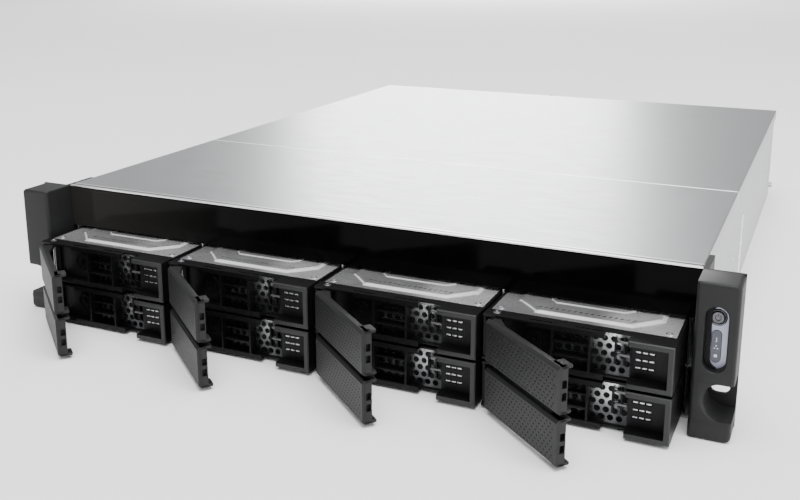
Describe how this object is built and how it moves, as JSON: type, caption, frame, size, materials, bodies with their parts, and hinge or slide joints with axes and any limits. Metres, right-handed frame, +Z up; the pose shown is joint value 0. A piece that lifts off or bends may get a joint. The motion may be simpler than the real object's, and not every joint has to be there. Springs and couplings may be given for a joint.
{
  "type": "rack-mount storage server",
  "caption": "Two-unit rack storage server: steel case, gloss bezel, ears, and drawn drive trays with latch levers, drives, fans and slide-in power supplies.",
  "frame": {"origin": "centre of the case's width, at its underside, in the plane of the rack rails (the front face of the bezel bar)", "axes": "X to the right seen from the front, Y from front to back, Z up"},
  "size_m": [0.4826, 0.6488, 0.088],
  "materials": {
    "galvanised_steel": "galvanised sheet, satin",
    "cover_steel": "zinc coated sheet with a faint grain",
    "cage_steel": "galvanised sheet",
    "bezel_gloss": "high gloss black",
    "ear_plastic": "fine matte charcoal",
    "bracket_black": "black powder coat",
    "panel_silver": "silver with a lavender cast",
    "button_metal": "bright turned metal",
    "circuit_board": "green solder mask",
    "fan_plastic": "black moulded plastic",
    "sink_aluminium": "extruded, satin",
    "socket_steel": "tinned shell",
    "supply_steel": "galvanised sheet",
    "tray_plastic": "black moulded plastic",
    "lever_plastic": "charcoal with a fine dimple grid",
    "shield_steel": "bright perforated sheet",
    "pin_steel": "dark plated steel",
    "drive_aluminium": "bright stamped lid on a cast body"
  },
  "bodies": {
    "chassis": {"chassis_pan": "galvanised_steel", "rear_panel": "galvanised_steel", "drive_cage": "cage_steel", "front_bezel": "bezel_gloss", "front_cover": "cover_steel", "left_ear": "ear_plastic", "right_ear": "ear_plastic", "rack_brackets": "bracket_black", "status_panel": "panel_silver", "backplane": "circuit_board", "fan_frames": "fan_plastic", "mainboard": "circuit_board", "heat_sink": "sink_aluminium", "rear_sockets": "socket_steel"},
    "rear_cover": {"rear_cover": "cover_steel"},
    "power_button": {"power_button": "button_metal"},
    "fan_rotor_1": {"fan_rotor_1": "fan_plastic"},
    "fan_rotor_2": {"fan_rotor_2": "fan_plastic"},
    "power_supply_1": {"power_supply_1": "supply_steel"},
    "power_supply_2": {"power_supply_2": "supply_steel"},
    "tray_1": {"tray_1_carrier": "tray_plastic", "tray_1_shield": "shield_steel", "tray_1_hinge_pin": "pin_steel", "tray_1_drive": "drive_aluminium"},
    "lever_1": {"tray_1_lever": "lever_plastic"},
    "tray_2": {"tray_2_carrier": "tray_plastic", "tray_2_shield": "shield_steel", "tray_2_hinge_pin": "pin_steel", "tray_2_drive": "drive_aluminium"},
    "lever_2": {"tray_2_lever": "lever_plastic"},
    "tray_3": {"tray_3_carrier": "tray_plastic", "tray_3_shield": "shield_steel", "tray_3_hinge_pin": "pin_steel", "tray_3_drive": "drive_aluminium"},
    "lever_3": {"tray_3_lever": "lever_plastic"},
    "tray_4": {"tray_4_carrier": "tray_plastic", "tray_4_shield": "shield_steel", "tray_4_hinge_pin": "pin_steel", "tray_4_drive": "drive_aluminium"},
    "lever_4": {"tray_4_lever": "lever_plastic"},
    "tray_5": {"tray_5_carrier": "tray_plastic", "tray_5_shield": "shield_steel", "tray_5_hinge_pin": "pin_steel", "tray_5_drive": "drive_aluminium"},
    "lever_5": {"tray_5_lever": "lever_plastic"},
    "tray_6": {"tray_6_carrier": "tray_plastic", "tray_6_shield": "shield_steel", "tray_6_hinge_pin": "pin_steel", "tray_6_drive": "drive_aluminium"},
    "lever_6": {"tray_6_lever": "lever_plastic"},
    "tray_7": {"tray_7_carrier": "tray_plastic", "tray_7_shield": "shield_steel", "tray_7_hinge_pin": "pin_steel", "tray_7_drive": "drive_aluminium"},
    "lever_7": {"tray_7_lever": "lever_plastic"},
    "tray_8": {"tray_8_carrier": "tray_plastic", "tray_8_shield": "shield_steel", "tray_8_hinge_pin": "pin_steel", "tray_8_drive": "drive_aluminium"},
    "lever_8": {"tray_8_lever": "lever_plastic"}
  },
  "joints": [
    {"name": "rear_cover_slide", "type": "slide", "parent": "chassis", "child": "rear_cover", "axis": [0, 1, 0], "range_m": [0, 0.012]},
    {"name": "power_button_press", "type": "slide", "parent": "chassis", "child": "power_button", "axis": [0, 1, 0], "range_m": [0, 0.0012], "stiffness_N_per_m": 300},
    {"name": "fan_1_spin", "type": "hinge", "parent": "chassis", "child": "fan_rotor_1", "pos_m": [-0.062, 0.2, 0.0362], "axis": [0, 1, 0], "continuous": true},
    {"name": "fan_2_spin", "type": "hinge", "parent": "chassis", "child": "fan_rotor_2", "pos_m": [0.062, 0.2, 0.0362], "axis": [0, 1, 0], "continuous": true},
    {"name": "power_supply_1_slide", "type": "slide", "parent": "chassis", "child": "power_supply_1", "axis": [0, 1, 0], "range_m": [0, 0.15]},
    {"name": "power_supply_2_slide", "type": "slide", "parent": "chassis", "child": "power_supply_2", "axis": [0, 1, 0], "range_m": [0, 0.15]},
    {"name": "tray_1_slide", "type": "slide", "parent": "chassis", "child": "tray_1", "axis": [0, -1, 0], "range_m": [-0.038, 0.11]},
    {"name": "lever_1_hinge", "type": "hinge", "parent": "tray_1", "child": "lever_1", "pos_m": [-0.2064, -0.0325, 0.0436], "axis": [0, 0, -1], "range_deg": [-40, 25]},
    {"name": "tray_2_slide", "type": "slide", "parent": "chassis", "child": "tray_2", "axis": [0, -1, 0], "range_m": [-0.038, 0.11]},
    {"name": "lever_2_hinge", "type": "hinge", "parent": "tray_2", "child": "lever_2", "pos_m": [-0.2064, -0.0325, 0.0152], "axis": [0, 0, -1], "range_deg": [-40, 25]},
    {"name": "tray_3_slide", "type": "slide", "parent": "chassis", "child": "tray_3", "axis": [0, -1, 0], "range_m": [-0.038, 0.11]},
    {"name": "lever_3_hinge", "type": "hinge", "parent": "tray_3", "child": "lever_3", "pos_m": [-0.0994, -0.0325, 0.0436], "axis": [0, 0, -1], "range_deg": [-40, 25]},
    {"name": "tray_4_slide", "type": "slide", "parent": "chassis", "child": "tray_4", "axis": [0, -1, 0], "range_m": [-0.038, 0.11]},
    {"name": "lever_4_hinge", "type": "hinge", "parent": "tray_4", "child": "lever_4", "pos_m": [-0.0994, -0.0325, 0.0152], "axis": [0, 0, -1], "range_deg": [-40, 25]},
    {"name": "tray_5_slide", "type": "slide", "parent": "chassis", "child": "tray_5", "axis": [0, -1, 0], "range_m": [-0.038, 0.11]},
    {"name": "lever_5_hinge", "type": "hinge", "parent": "tray_5", "child": "lever_5", "pos_m": [0.0076, -0.0325, 0.0436], "axis": [0, 0, -1], "range_deg": [-40, 25]},
    {"name": "tray_6_slide", "type": "slide", "parent": "chassis", "child": "tray_6", "axis": [0, -1, 0], "range_m": [-0.038, 0.11]},
    {"name": "lever_6_hinge", "type": "hinge", "parent": "tray_6", "child": "lever_6", "pos_m": [0.0076, -0.0325, 0.0152], "axis": [0, 0, -1], "range_deg": [-40, 25]},
    {"name": "tray_7_slide", "type": "slide", "parent": "chassis", "child": "tray_7", "axis": [0, -1, 0], "range_m": [-0.038, 0.11]},
    {"name": "lever_7_hinge", "type": "hinge", "parent": "tray_7", "child": "lever_7", "pos_m": [0.1146, -0.0325, 0.0436], "axis": [0, 0, -1], "range_deg": [-40, 25]},
    {"name": "tray_8_slide", "type": "slide", "parent": "chassis", "child": "tray_8", "axis": [0, -1, 0], "range_m": [-0.038, 0.11]},
    {"name": "lever_8_hinge", "type": "hinge", "parent": "tray_8", "child": "lever_8", "pos_m": [0.1146, -0.0325, 0.0152], "axis": [0, 0, -1], "range_deg": [-40, 25]}
  ]
}
